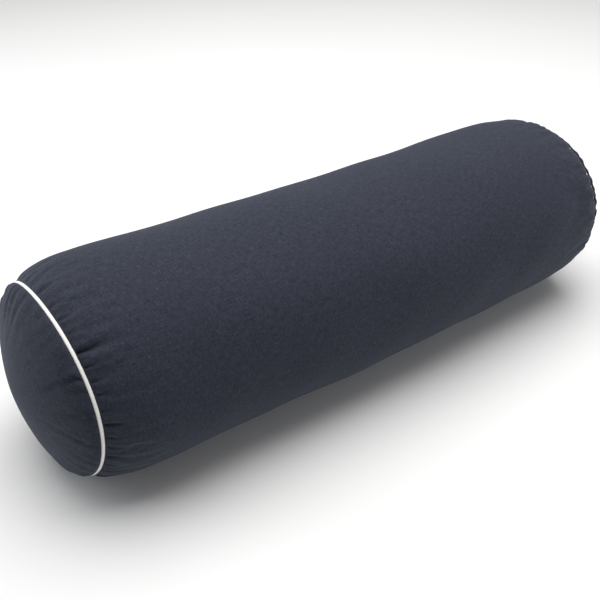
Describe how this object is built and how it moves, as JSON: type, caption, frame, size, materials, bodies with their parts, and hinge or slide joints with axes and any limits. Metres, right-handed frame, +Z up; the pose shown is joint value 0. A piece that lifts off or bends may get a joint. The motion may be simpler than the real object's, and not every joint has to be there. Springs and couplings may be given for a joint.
{
  "type": "bolster pillow",
  "caption": "Round bolster pillow in a dark navy slubbed cotton cover, with domed ends, off-white piping round both end seams and a zip along the back.",
  "frame": {"origin": "centre of the bolster's footprint, at the height of the surface it lies on", "axes": "+X along the bolster, +Y towards the zip at its back, +Z up; left means the -X end and right the +X end"},
  "size_m": [0.7, 0.224, 0.1994],
  "materials": {
    "navy_cloth": "matt slubbed plain-weave cotton with a soft sheen",
    "white_piping": "fine off-white cotton cut on the bias",
    "cotton_cord": "soft twisted cotton filler cord",
    "calico": "unbleached plain-weave cotton",
    "wadding": "lofty white polyester wadding",
    "foam": "open-cell upholstery foam",
    "zip_tape": "woven herringbone polyester tape",
    "zip_coil": "moulded nylon coil",
    "zip_metal": "gunmetal lacquer on die-cast zinc"
  },
  "bodies": {
    "bolster": {"cover_side_panel": "navy_cloth", "left_end_panel": "navy_cloth", "right_end_panel": "navy_cloth", "left_piping_cover": "white_piping", "right_piping_cover": "white_piping", "left_piping_cord": "cotton_cord", "right_piping_cord": "cotton_cord", "inner_side_panel": "calico", "inner_left_end_panel": "calico", "inner_right_end_panel": "calico", "wadding_sleeve": "wadding", "left_end_wadding": "wadding", "right_end_wadding": "wadding", "foam_core": "foam", "zip_tape_upper": "zip_tape", "zip_tape_lower": "zip_tape", "zip_coil_upper": "zip_coil", "zip_coil_lower": "zip_coil", "zip_top_stop_upper": "zip_metal", "zip_top_stop_lower": "zip_metal", "zip_bottom_stop": "zip_metal"},
    "zip_slider": {"zip_slider": "zip_metal"},
    "pull_tab": {"zip_pull_tab": "zip_metal"}
  },
  "joints": [
    {"name": "zip_slide", "type": "slide", "parent": "bolster", "child": "zip_slider", "axis": [-1, 0, 0], "range_m": [0, 0.3998]},
    {"name": "pull_tab_hinge", "type": "hinge", "parent": "zip_slider", "child": "pull_tab", "pos_m": [0.20095, 0.10031, 0.14659], "axis": [0, 0.5073, -0.8618], "range_deg": [0, 180]}
  ]
}
